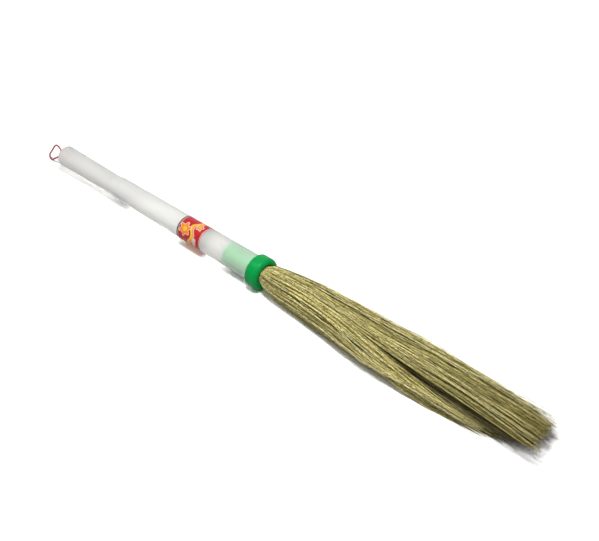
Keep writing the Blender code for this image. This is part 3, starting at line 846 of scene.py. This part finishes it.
class BROOM_OT_cord(bpy.types.Operator):
    """Makes the twisted hanging loop and its knot."""

    bl_idname = "broom.cord"
    bl_label = "Hanging Loop"

    def execute(self, context):
        settings = context.scene.broom_cord
        material = cord_fibre(tuple(settings.colour))
        route = smooth_route(loop_route(settings.diameter), settings.diameter / PLACES_PER_DIAMETER)
        cord = add_piece("hanging_loop", self.twisted_mesh(route, settings), material, "hang_cord")
        knot = add_piece("loop_knot", self.knot_mesh(settings), material, "cord_knot")
        return {"FINISHED"}

    def twisted_mesh(self, route, settings):
        """Three strands laid round each other, swept as one lobed section that turns."""
        radius = settings.diameter * settings.fullness / 2
        shape = bmesh.new()
        rings = []
        travelled = 0.0
        tangent = (route[1] - route[0]).normalized()
        side = tangent.cross(Vector((0, 1, 0))).normalized()
        for index, place in enumerate(route):
            before = route[max(index - 1, 0)]
            after = route[min(index + 1, len(route) - 1)]
            tangent = (after - before).normalized()
            side = (side - tangent * side.dot(tangent)).normalized()
            other = tangent.cross(side)
            travelled += (place - before).length
            turn = math.tau * settings.turns_per_metre * travelled / CORD_STRANDS
            ring = []
            for step in range(CORD_SIDES):
                angle = math.tau * step / CORD_SIDES
                lobe = radius * (1 - LOBE_DEPTH + LOBE_DEPTH * math.cos(CORD_STRANDS * (angle - turn)))
                away = side * lobe * math.cos(angle) + other * lobe * math.sin(angle)
                ring.append(shape.verts.new(place + away))
            rings.append(ring)
        join_rings(shape, rings)
        shape.faces.new(reversed(rings[0]))
        shape.faces.new(rings[-1])
        return finished_mesh("hanging_loop", shape, 60)

    def knot_mesh(self, settings):
        """An overhand knot drawn tight: a closed trefoil tube behind the end wall."""
        centre = (Vector(KNOT_LOW) + Vector(KNOT_HIGH)) / 2
        reach = (KNOT_HIGH[1] - KNOT_LOW[1]) / 2 - settings.diameter / 2
        curve = bpy.data.curves.new("loop_knot", "CURVE")
        curve.dimensions = "3D"
        curve.bevel_depth = settings.diameter / 2
        curve.bevel_resolution = 4
        spline = curve.splines.new("POLY")
        spline.points.add(KNOT_POINTS - 1)
        for index, point in enumerate(spline.points):
            turn = math.tau * index / KNOT_POINTS
            across = (math.sin(turn) + 2 * math.sin(2 * turn)) / 3 * reach
            height = (math.cos(turn) - 2 * math.cos(2 * turn)) / 3 * reach
            depth = -math.sin(3 * turn) * settings.diameter * KNOT_DEPTH
            point.co = (centre.x + depth, centre.y + across, centre.z + height, 1)
        spline.use_cyclic_u = True
        mesh = baked_mesh(bpy.data.objects.new("loop_knot_curve", curve))
        smooth_shade(mesh, 60)
        return mesh


def loop_route(diameter):
    """The hanging loop's points, close to the part's own: out, over a rise, round on the floor, back."""
    end = GRIP_LOW[0]
    inner = end + END_WALL + FIT_GAP
    upper = AXIS_HEIGHT + (diameter + FIT_GAP) / 2
    lower = AXIS_HEIGHT - (diameter + FIT_GAP) / 2
    lowest = diameter / 2 + FIT_GAP
    points = [(inner, 0, upper), (end - LOOP_STRAIGHT_OUT, 0, upper)]
    for places, base in ((LOOP_RISE, 0), (LOOP_TURN, lowest), (LOOP_RETURN, 0)):
        points += [(end - away, side, base + height) for away, side, height in places]
    return points + [(end - LOOP_STRAIGHT_BACK, 0, lower), (inner, 0, lower)]


def smooth_route(points, pitch):
    """Places read at an even pitch from a smooth curve through the given points."""
    fine = []
    padded = [Vector(place) for place in (points[0], *points, points[-1])]
    for a, b, c, d in zip(padded, padded[1:], padded[2:], padded[3:]):
        for step in range(ROUTE_STEPS):
            t = step / ROUTE_STEPS
            fine.append(
                (2 * b + (c - a) * t + (2 * a - 5 * b + 4 * c - d) * t**2
                 + (3 * b - a - 3 * c + d) * t**3) / 2
            )
    fine.append(padded[-1])
    travelled = [0.0]
    for first, second in zip(fine, fine[1:]):
        travelled.append(travelled[-1] + (second - first).length)
    count = round(travelled[-1] / pitch)
    route = []
    index = 0
    for step in range(count + 1):
        wanted = travelled[-1] * step / count
        while index < len(fine) - 2 and travelled[index + 1] < wanted:
            index += 1
        stretch = travelled[index + 1] - travelled[index]
        share = (wanted - travelled[index]) / stretch if stretch else 0.0
        route.append(fine[index].lerp(fine[index + 1], min(share, 1.0)))

    # The thread eases its bends, so each place moves toward its neighbours a few times
    for _ in range(EASING_PASSES):
        inner = [(a + 2 * b + c) / 4 for a, b, c in zip(route, route[1:], route[2:])]
        route = [route[0]] + inner + [route[-1]]
    return route


class BROOM_OT_handle(bpy.types.Operator):
    """Makes the grip and the tube, both frosted plastic shells."""

    bl_idname = "broom.handle"
    bl_label = "Handle"

    def execute(self, context):
        settings = context.scene.broom_handle
        cord = context.scene.broom_cord
        for name, profile, seed_shift, passing in (
            ("grip", self.grip_profile(settings, cord.diameter * cord.fullness), 0.3, 0.45),
            ("tube", self.tube_profile(settings), 0.0, 0.66),
        ):
            mesh = turned_mesh(f"{name}_shell", profile)
            plastic = frosted_plastic(f"frosted_{name}", tuple(settings.colour), seed_shift, passing)
            add_piece(f"{name}_shell", mesh, plastic, f"handle_{name}")
        return {"FINISHED"}

    def grip_profile(self, settings, cord_diameter):
        """From the cord's hole over the round end to the neck, and back along the bore."""
        end = GRIP_LOW[0]
        joint = end + settings.grip_length
        neck_end = GRIP_HIGH[0]
        bead = neck_end - BEAD_WIDTH * 2
        hole = cord_diameter + CORD_PLAY
        neck = settings.neck_radius
        waist = neck - BEAD_HEIGHT
        bore = neck - settings.wall
        edge = settings.grip_edge_radius
        rim = settings.grip_end_radius - edge
        inner = edge - settings.wall
        shoulder = neck + settings.shoulder
        profile = arc((hole + FINE_EDGE, end + FINE_EDGE), FINE_EDGE, 180, 270, 3)
        profile += arc((rim, end + edge), edge, -90, 0, 12)
        profile += arc((shoulder - FINE_EDGE, joint - FINE_EDGE), FINE_EDGE, 0, 90, 4)
        profile += [(waist, joint), (waist, bead)]
        profile += [(neck, bead + BEAD_WIDTH / 3), (neck, bead + BEAD_WIDTH * 2 / 3)]
        profile += [(waist, bead + BEAD_WIDTH), (waist, neck_end), (bore, neck_end), (bore, joint)]
        profile += arc((rim, end + END_WALL + inner), inner, 0, -90, 6)
        return profile + [(hole, end + END_WALL)]

    def tube_profile(self, settings):
        """Along the bore to the tail, over its chamfer and up the taper to the flange."""
        start, end = TUBE_LOW[0], TUBE_HIGH[0]
        chamfer_end = start + CHAMFER_LENGTH
        flange = end - FLANGE_THICKNESS
        rim = settings.flange_radius - FLANGE_EDGE
        tail = settings.tail_radius - CHAMFER
        root = tube_radius(settings, flange)
        wall = settings.wall
        profile = [(settings.mouth_radius - wall, end), (settings.tail_radius - wall, start)]
        profile += arc((tail - SOFT_EDGE, start + SOFT_EDGE), SOFT_EDGE, -90, 0, 4)
        profile += [(tube_radius(settings, chamfer_end), chamfer_end)]
        profile += arc((root + FLANGE_EDGE, flange - FLANGE_EDGE), FLANGE_EDGE, 180, 90, 5)
        profile += arc((rim, flange + FLANGE_EDGE), FLANGE_EDGE, -90, 0, 5)
        return profile + arc((rim, end - FLANGE_EDGE), FLANGE_EDGE, 0, 90, 5)


class BROOM_OT_label(bpy.types.Operator):
    """Makes the printed sticker round the tube."""

    bl_idname = "broom.label"
    bl_label = "Sticker"

    def execute(self, context):
        settings = context.scene.broom_label
        sheet = bpy.data.objects.new("sticker_sheet", self.sheet_mesh(context.scene.broom_handle, settings))
        skin = sheet.modifiers.new("Skin", "SOLIDIFY")
        skin.thickness = STICKER_THICKNESS
        skin.offset = 1
        item = add_piece("sticker", baked_mesh(sheet), label_print(settings), "label")
        item.data.materials.append(sticker_back())
        for face in item.data.polygons:
            outward = Vector((0, face.center.y, face.center.z - AXIS_HEIGHT))
            face.material_index = int(face.normal.dot(outward) < 0)
        return {"FINISHED"}

    def sheet_mesh(self, handle, settings):
        """The sticker as a thin sheet, open at its seam below, with its print's place as UV."""
        shape = bmesh.new()
        layer = shape.loops.layers.uv.new("print")
        seam = SEAM_WIDTH / handle.mouth_radius
        width = settings.width * MILLIMETRES
        girth = math.tau * handle.mouth_radius * STICKER_GIRTH_SHARE * MILLIMETRES
        grid = []
        for row in range(STICKER_ROWS + 1):
            along = LABEL_LOW[0] + (LABEL_HIGH[0] - LABEL_LOW[0]) * row / STICKER_ROWS
            radius = tube_radius(handle, along) + STICKER_GAP
            line = []
            for column in range(STICKER_COLUMNS + 1):
                angle = math.pi + seam / 2 + (math.tau - seam) * column / STICKER_COLUMNS
                line.append(shape.verts.new(round_axis(along, radius, angle)))
            grid.append(line)
        for row in range(STICKER_ROWS):
            for column in range(STICKER_COLUMNS):
                corners = ((column, row), (column + 1, row), (column + 1, row + 1), (column, row + 1))
                face = shape.faces.new([grid[up][across] for across, up in corners])
                for loop, (across, up) in zip(face.loops, corners):
                    loop[layer].uv = (across / STICKER_COLUMNS * girth, up / STICKER_ROWS * width)
        return finished_mesh("sticker", shape, 40)


class BROOM_OT_collar(bpy.types.Operator):
    """Makes the green collar with its spigot, and finishes the binding wire."""

    bl_idname = "broom.collar"
    bl_label = "Collar"

    def execute(self, context):
        settings = context.scene.broom_collar
        mesh = turned_mesh("green_collar", self.profile(settings, context.scene.broom_handle))
        add_piece("green_collar", mesh, green_plastic(tuple(settings.colour)), "collar")
        wire = frame["nodes"]["binding_wire"]
        wire.data.materials.clear()
        wire.data.materials.append(steel_wire())
        return {"FINISHED"}

    def profile(self, settings, handle):
        """From the spigot's tail over the hollow ring to the mouth, and back along the bore."""
        tail, front = COLLAR_LOW[0], COLLAR_HIGH[0]
        back = front - settings.ring_length
        core_end = back + CORE_DEPTH
        tail_radius = tube_radius(handle, tail) - handle.wall - FIT_GAP
        root_radius = handle.mouth_radius - handle.wall - FIT_GAP
        core_inner = root_radius + CORE_WALL
        core_outer = settings.radius - CORE_WALL
        bore = tail_radius - settings.wall
        profile = arc((tail_radius - SOFT_EDGE, tail + SOFT_EDGE), SOFT_EDGE, -90, 0, 4)
        profile += [(root_radius, back), (core_inner, back)]
        profile += [(core_inner, core_end), (core_outer, core_end), (core_outer, back)]
        edge = settings.back_edge
        profile += arc((settings.radius - edge, back + edge), edge, -90, 0, 8)
        edge = settings.front_edge
        profile += arc((settings.radius - edge, front - edge), edge, 0, 90, 14)
        lip = settings.lip
        profile += arc((settings.mouth_radius + lip, front - lip), lip, 90, 180, 8)
        return profile + [(bore, back), (bore, tail)]


def stored(wires, geometry, name, value, kind):
    """Geometry that carries a named value."""
    inputs = {"Geometry": geometry, "Name": name, "Value": value}
    return wires.node("GeometryNodeStoreNamedAttribute", inputs, data_type=kind).outputs[0]


def read_back(wires, name):
    """The three numbers stored under a name."""
    item = wires.node("GeometryNodeInputNamedAttribute", {"Name": name}, data_type="FLOAT_VECTOR")
    return wires.separate(item.outputs[0])


def cells(wires, place, scale):
    """The cell of neighbours that a place belongs to: its chances and its centre."""
    item = wires.node("ShaderNodeTexVoronoi", {"Vector": place, "Scale": scale}, voronoi_dimensions="2D")
    return wires.separate(item.outputs["Color"]), item.outputs["Position"]


def rib_lines(wires, given):
    """A plain line for each rib, with its seat among the butts and its own chances."""
    points = wires.node("GeometryNodePoints", {"Count": given["Ribs"]}).outputs[0]
    index = wires.node("GeometryNodeInputIndex").outputs[0]
    share = wires.over(wires.plus(index, 0.5), given["Ribs"])
    inner = wires.power(given["Inner Ring"], 2.0)
    outer = wires.power(given["Outer Ring"], 2.0)
    ring = wires.math("SQRT", wires.mix(share, inner, outer))
    spin = wires.minus(wires.math("FRACT", wires.times(index, GOLDEN_SHARE)), 0.5)
    points = stored(wires, points, "seat", wires.combine(ring, spin), "FLOAT_VECTOR")
    for number, name in enumerate(("chance", "stray", "bend")):
        inputs = {"ID": index, "Seed": wires.plus(given["Seed"], SEED_STEP * number)}
        chance = wires.node("FunctionNodeRandomValue", inputs, data_type="FLOAT_VECTOR").outputs[0]
        points = stored(wires, points, name, chance, "FLOAT_VECTOR")
    line = wires.node("GeometryNodeCurvePrimitiveLine", {"End": (1, 0, 0)}).outputs[0]
    line = wires.node("GeometryNodeResampleCurve", {"Curve": line, "Count": given["Steps"]}).outputs[0]
    copies = wires.node("GeometryNodeInstanceOnPoints", {"Points": points, "Instance": line}).outputs[0]
    return wires.node("GeometryNodeRealizeInstances", {"Geometry": copies}).outputs[0]


def rib_reach(wires, given, ring, tip_angle, own_chance, tuft_chance):
    """How far a rib reaches: by its place round the bundle, less its raggedness."""
    turn = wires.math("FRACT", wires.over(tip_angle, math.tau))
    longest = max(reach for _, reach in REACH_ROUND)
    whole = wires.curve(turn, [(part, reach / longest) for part, reach in REACH_ROUND])
    whole = wires.mix(wires.ranged(ring, 0.25, 0.95), HEART_REACH, wires.times(whole, longest))
    short = wires.mix(0.3, wires.power(own_chance, 2.4), tuft_chance)
    reach = wires.minus(whole, wires.times(given["Ragged"], short))
    return wires.times(reach, given["Full Reach"])


def floor_squared(wires, place, settled):
    """A place in the round section moved out, where its lower half squares off on the floor."""
    parts = wires.separate(place)
    ring = wires.math("MAXIMUM", wires.length(place), 0.001)
    power = wires.mix(settled, 2.0, FLOOR_SQUARENESS)
    sides = wires.math("ABSOLUTE", wires.over(parts[0], ring))
    downs = wires.math("ABSOLUTE", wires.over(wires.math("MINIMUM", parts[1], 0.0), ring))
    round_side = wires.plus(wires.power(sides, power), wires.power(downs, power))
    squared = wires.power(round_side, wires.over(-1.0, power))
    squared = wires.mix(wires.below(parts[1], 0.0), 1.0, squared)
    return wires.separate(wires.scaled(place, squared))


def swept_ribs(wires, lines, position, radius, marks, material):
    """Sets the lines at their places and sweeps a small square along each."""
    moved = wires.node("GeometryNodeSetPosition", {"Geometry": lines, "Position": position}).outputs[0]
    ribs = wires.node("GeometryNodeSetCurveRadius", {"Curve": moved, "Radius": radius}).outputs[0]
    for name, value in marks:
        ribs = stored(wires, ribs, name, value, "FLOAT")
    section = wires.node("GeometryNodeCurvePrimitiveCircle", {"Resolution": 4, "Radius": 1.0}).outputs[0]
    inputs = {"Curve": ribs, "Profile Curve": section, "Fill Caps": True}
    inputs["Scale"] = wires.node("GeometryNodeInputRadius").outputs[0]
    swept = wires.node("GeometryNodeCurveToMesh", inputs).outputs[0]
    smooth = wires.node("GeometryNodeSetShadeSmooth", {"Geometry": swept}).outputs[0]
    real = wires.node("GeometryNodeRealizeInstances", {"Geometry": smooth}).outputs[0]
    return wires.node("GeometryNodeSetMaterial", {"Geometry": real, "Material": material}).outputs[0]


def rib_tree(mouth_radius, half_width, half_height):
    """Grows one bunch of the bundle: ribs from their butts, through the mouth, to ragged tips."""
    tree = bpy.data.node_groups.new("Rib Bunch", "GeometryNodeTree")
    wires, given, result = open_group(tree, RIB_INPUTS, [("Geometry", "Geometry")])
    lines = rib_lines(wires, given)
    factor = wires.node("GeometryNodeSplineParameter").outputs["Factor"]
    ring, spin, _ = read_back(wires, "seat")
    chances, strays, bends = (read_back(wires, name) for name in ("chance", "stray", "bend"))

    # The rib's seat among the butts, and the tuft and the pair of neighbours that it belongs to
    butt_angle = wires.math("MULTIPLY_ADD", spin, given["Butt Opening"], given["Butt Angle"])
    tip_angle = wires.math("MULTIPLY_ADD", spin, given["Tip Opening"], given["Tip Angle"])
    seat = wires.scaled(wires.round_place(butt_angle), ring)
    tuft_chances, tuft_centre = cells(wires, seat, given["Tufts"])
    pair_chances, pair_centre = cells(wires, seat, given["Pairs"])

    # Where along the rib this point lies: its first step is inside the collar
    reach = rib_reach(wires, given, ring, tip_angle, chances[0], tuft_chances[2])
    first = wires.over(1.0, wires.minus(given["Steps"], 1.0))
    inside = wires.ranged(factor, 0.0, first)
    past = wires.times(wires.power(wires.ranged(factor, first, 1.0), 1.4), reach)
    along = wires.plus(wires.mix(inside, given["Butt Place"], given["Mouth Place"]), past)
    out = wires.over(past, given["Full Reach"])

    # The bundle's half width, half height and centre height at this place
    squeeze = wires.mix(inside, wires.over(given["Butt Radius"], given["Mouth Radius"]), 1.0)
    sizes = []
    for column, label, half in ((1, "Half Width", half_width), (2, "Half Height", half_height)):
        shares = [(0.0, mouth_radius / half)] + [(row[0], row[column]) for row in BUNDLE_SHARES]
        sizes.append(wires.times(wires.times(wires.curve(out, shares), given[label]), squeeze))
    width, height = sizes
    settled = wires.eased(out, *SETTLE_SPAN)
    centre = wires.mix(settled, given["Axis Height"], height)

    # Locks turn a little and draw together, and so do the tufts inside them
    swirl = wires.times(given["Swirl"], wires.minus(0.5, spin))
    swirl = wires.times(swirl, wires.eased(out, *SWIRL_SPAN))
    angle = wires.plus(wires.mix(wires.eased(out, *TURN_SPAN), butt_angle, tip_angle), swirl)
    round_spot = wires.scaled(wires.round_place(angle), ring)
    lock = wires.scaled(wires.round_place(given["Tip Angle"]), given["Gather Ring"])
    gathering = wires.eased(out, *GATHER_SPAN)
    gather = wires.times(given["Gather"], gathering)
    drawn = wires.times(gather, wires.minus(1.0, given["Gather Ring"]))
    drawn = wires.times(drawn, wires.math("GREATER_THAN", given["Gather Ring"], 0.0))
    place = wires.mix_vector(gather, round_spot, lock)
    place = wires.scaled(place, wires.over(1.0, wires.minus(1.0, drawn)))
    drawing = wires.eased(out, *TUFT_SPAN)
    toward = wires.vector("SUBTRACT", tuft_centre, seat)
    place = wires.pushed(place, toward, wires.times(given["Tuft Gather"], drawing))
    toward = wires.vector("SUBTRACT", pair_centre, seat)
    place = wires.pushed(place, toward, wires.times(wires.mix(out, 0.52, 0.50), drawing))
    drift = wires.either_way(tuft_chances[0], tuft_chances[1])
    place = wires.pushed(place, drift, wires.times(given["Tuft Drift"], gathering))

    # Shared waves, a wander and a bend of each rib's own, and a few that stray out of the bundle
    flowing = wires.vector("ADD", wires.scaled(seat, 2.6), wires.combine(0.0, 0.0, wires.times(out, 1.6)))
    wave = wires.vector("SUBTRACT", wires.noise(flowing, 1.0, 2.0, "Color"), (0.5, 0.5, 0.5))
    place = wires.pushed(place, wave, wires.times(given["Flow"], wires.eased(out, *WAVE_SPAN)))
    own = wires.either_way(chances[1], chances[2])
    place = wires.pushed(place, own, wires.times(out, given["Wander"]))
    swing = wires.math("SINE", wires.times(out, wires.mix(bends[2], 8.0, 22.0)))
    swing = wires.times(swing, wires.times(given["Wander"], 0.7))
    place = wires.pushed(place, wires.either_way(bends[0], bends[1]), swing)
    lift = wires.times(wires.power(strays[2], 6.0), given["Lift"])
    lift = wires.times(lift, wires.power(out, wires.mix(bends[2], 2.0, 8.0)))
    place = wires.pushed(place, round_spot, lift)

    # A lock that has fallen lies lower and nearer to the middle
    fallen = wires.eased(out, *FALL_SPAN)
    kept = wires.minus(1.0, wires.times(given["Narrow"], fallen))
    place = wires.vector("MULTIPLY", place, wires.combine(kept, 1.0, 1.0))
    place = wires.vector("SUBTRACT", place, wires.combine(0.0, wires.times(given["Sag"], fallen)))

    # From shares of the section to metres, with the bundle's sideways sweep
    parts = floor_squared(wires, place, settled)
    back = wires.ranged(out, *SWEEP_BACK_SPAN, 0.0, SWEEP_BACK_SHARE)
    sweep = wires.times(given["Sweep"], wires.minus(wires.eased(out, *SWEEP_SPAN), back))
    side = wires.plus(wires.times(parts[0], width), sweep)
    rise = wires.plus(centre, wires.times(parts[1], height))

    # Each rib tapers from its butt to a fine tip, and none goes under the floor
    fullness = wires.curve(out, [(0.0, 1.0), (0.3, 0.95), (0.7, 0.82), (1.0, 0.68)])
    near_tip = wires.curve(factor, [(0.0, 1.0), (0.86, 1.0), (0.95, 0.85), (1.0, 0.45)])
    radius = wires.times(wires.times(fullness, wires.mix(strays[0], 0.7, 1.2)), given["Thickness"])
    radius = wires.times(radius, near_tip)
    position = wires.combine(along, side, wires.math("MAXIMUM", rise, radius))
    tone = wires.mix(0.7, strays[1], pair_chances[1])
    # The last mark is how deep the rib sits in the bundle, which the rib material turns into painted shade
    marks = (("rib_tone", tone), ("rib_place", out), ("rib_shade_depth", wires.minus(1.0, ring)))
    wires.feed(result[0], swept_ribs(wires, lines, position, radius, marks, given["Material"]))
    return tree


def grown_mesh(name, tree, values):
    """Runs a geometry tree with its named inputs set, and returns the plain mesh."""
    item = bpy.data.objects.new(name + "_growth", bpy.data.meshes.new(name + "_growth"))
    growth = item.modifiers.new("Growth", "NODES")
    growth.node_group = tree
    for socket in tree.interface.items_tree:
        if socket.in_out == "INPUT" and socket.name in values:
            growth[socket.identifier] = values[socket.name]
    mesh = baked_mesh(item)
    mesh.name = name
    return mesh


class BROOM_OT_ribs(bpy.types.Operator):
    """Grows the bundle of leaf ribs, a heart and six locks."""

    bl_idname = "broom.ribs"
    bl_label = "Ribs"

    def execute(self, context):
        settings = context.scene.broom_ribs
        tree = rib_tree(settings.mouth_radius, settings.half_width, settings.half_height)
        mouth = COLLAR_HIGH[0]
        shared = {
            "Butt Place": HEART_LOW[0], "Mouth Place": mouth,
            "Full Reach": (HEART_HIGH[0] - mouth) * REACH_STRETCH,
            "Axis Height": AXIS_HEIGHT, "Thickness": settings.thickness,
            "Butt Radius": settings.butt_radius, "Mouth Radius": settings.mouth_radius,
            "Half Width": settings.half_width, "Half Height": settings.half_height,
            "Material": leaf_rib(tuple(settings.colour)),
        }
        values = dict(shared, Ribs=settings.heart_ribs, Seed=HEART_SEED, Gather=0.0)
        values["Outer Ring"] = HEART_OUTER_RING
        self.add_bunch("ribs_heart", tree, values, "bristle_heart")
        for number, lock in enumerate(LOCKS):
            low, high, swirl, sag, narrow, gather, ragged, lift = lock
            values = dict(shared, Ribs=settings.lock_ribs, Seed=LOCK_SEED + number)
            values.update({
                "Inner Ring": LOCK_INNER_RING, "Outer Ring": 1.0, "Gather Ring": GATHER_RING,
                "Butt Angle": math.tau * (number + 0.5) / len(LOCKS), "Butt Opening": math.tau / len(LOCKS),
                "Tip Angle": math.tau * (low + high) / 2, "Tip Opening": math.tau * (high - low),
                "Swirl": math.tau * swirl, "Sag": sag, "Narrow": narrow, "Gather": gather,
                "Ragged": ragged, "Lift": lift,
            })
            self.add_bunch(f"ribs_lock_{number + 1}", tree, values, f"bristle_lock_{number + 1}")
        return {"FINISHED"}

    def add_bunch(self, name, tree, values, node):
        add_piece(name, grown_mesh(name, tree, values), None, node)


class BROOM_PT_panel(bpy.types.Panel):
    """Lists the broom's pieces and their sizes."""

    bl_idname = "BROOM_PT_panel"
    bl_label = "Hand Broom"
    bl_space_type = "VIEW_3D"
    bl_region_type = "UI"
    bl_category = "Hand Broom"

    def draw(self, context):
        for name, _, _ in PIECES:
            box = self.layout.box()
            box.operator(f"broom.{name}")
            settings = getattr(context.scene, f"broom_{name}")
            for key in settings.bl_rna.properties.keys():
                if key not in ("rna_type", "name"):
                    box.prop(settings, key)


# Each piece's name, operator and settings, in the order in which they are built
PIECES = (
    ("stage", BROOM_OT_stage, StageSettings),
    ("cord", BROOM_OT_cord, CordSettings),
    ("handle", BROOM_OT_handle, HandleSettings),
    ("label", BROOM_OT_label, LabelSettings),
    ("collar", BROOM_OT_collar, CollarSettings),
    ("ribs", BROOM_OT_ribs, RibSettings),
)


def register():
    for name, operator, settings in PIECES:
        bpy.utils.register_class(settings)
        bpy.utils.register_class(operator)
        setattr(bpy.types.Scene, f"broom_{name}", PointerProperty(type=settings))
    bpy.utils.register_class(BROOM_PT_panel)


def unregister():
    bpy.utils.unregister_class(BROOM_PT_panel)
    for name, operator, settings in PIECES:
        delattr(bpy.types.Scene, f"broom_{name}")
        bpy.utils.unregister_class(operator)
        bpy.utils.unregister_class(settings)


def main():
    register()
    for name, _, _ in PIECES:
        getattr(bpy.ops.broom, name)()


if __name__ == "__main__":
    main()
